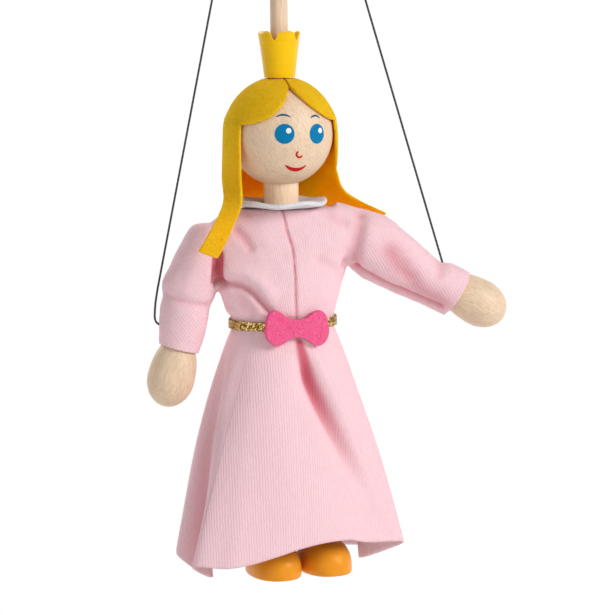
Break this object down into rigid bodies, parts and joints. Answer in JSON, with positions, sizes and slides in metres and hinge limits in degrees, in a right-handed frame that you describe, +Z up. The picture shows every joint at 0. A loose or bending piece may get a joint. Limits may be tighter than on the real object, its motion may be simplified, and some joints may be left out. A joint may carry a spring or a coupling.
{
  "type": "rod puppet",
  "caption": "Wooden princess puppet in a long jersey dress, carried by a rod through its head, with pinned arms moved by strings and swinging legs.",
  "frame": {"origin": "centre of the flat top end of the control rod, where the hand holds it", "axes": "+Z up along the rod, -Y the way the face looks, +X towards the puppet's left hand"},
  "size_m": [0.1237, 0.0521, 0.2944],
  "materials": {
    "beech": "sanded beech",
    "yellow_paint": "gloss paint",
    "yellow_felt": "felt",
    "white_felt": "felt",
    "pink_jersey": "rib jersey",
    "gold_braid": "metallic braid",
    "pink_felt": "felt",
    "orange_paint": "satin paint",
    "steel_wire": "bright",
    "black_cord": "twisted"
  },
  "bodies": {
    "puppet": {"control_rod": "beech", "crown": "yellow_paint", "head": "beech", "neck": "beech", "hair_fringe_right": "yellow_felt", "hair_fringe_left": "yellow_felt", "hair_back": "yellow_felt", "hair_lock_right": "yellow_felt", "hair_lock_left": "yellow_felt", "collar": "white_felt", "torso": "beech", "hip_tongue": "beech", "shoulder_bar": "beech", "shoulder_pin_right": "steel_wire", "shoulder_pin_left": "steel_wire", "hip_pin": "steel_wire", "dress_bodice": "pink_jersey", "dress_skirt": "pink_jersey", "belt": "gold_braid", "bow": "pink_felt", "string_right": "black_cord", "string_left": "black_cord"},
    "arm_right_body": {"arm_right": "beech", "hand_right": "beech", "sleeve_right": "pink_jersey", "wrist_tie_right": "black_cord"},
    "arm_left_body": {"arm_left": "beech", "hand_left": "beech", "sleeve_left": "pink_jersey", "wrist_tie_left": "black_cord"},
    "leg_right_body": {"leg_right": "beech", "shoe_right": "orange_paint"},
    "leg_left_body": {"leg_left": "beech", "shoe_left": "orange_paint"}
  },
  "joints": [
    {"name": "shoulder_right", "type": "hinge", "parent": "puppet", "child": "arm_right_body", "pos_m": [-0.02543, 0.00541, -0.1774], "axis": [0.2079, 0.9781, 0], "range_deg": [0, 77.6], "deforming": ["string_right"]},
    {"name": "shoulder_left", "type": "hinge", "parent": "puppet", "child": "arm_left_body", "pos_m": [0.02543, -0.00541, -0.1774], "axis": [-0.2079, -0.9781, 0], "range_deg": [0, 32.6], "deforming": ["string_left"]},
    {"name": "hip_right", "type": "hinge", "parent": "puppet", "child": "leg_right_body", "pos_m": [-0.0063, -0.005, -0.2264], "axis": [1, 0, 0], "range_deg": [-9, 9]},
    {"name": "hip_left", "type": "hinge", "parent": "puppet", "child": "leg_left_body", "pos_m": [0.0123, -0.005, -0.2264], "axis": [1, 0, 0], "range_deg": [-9, 9]}
  ]
}
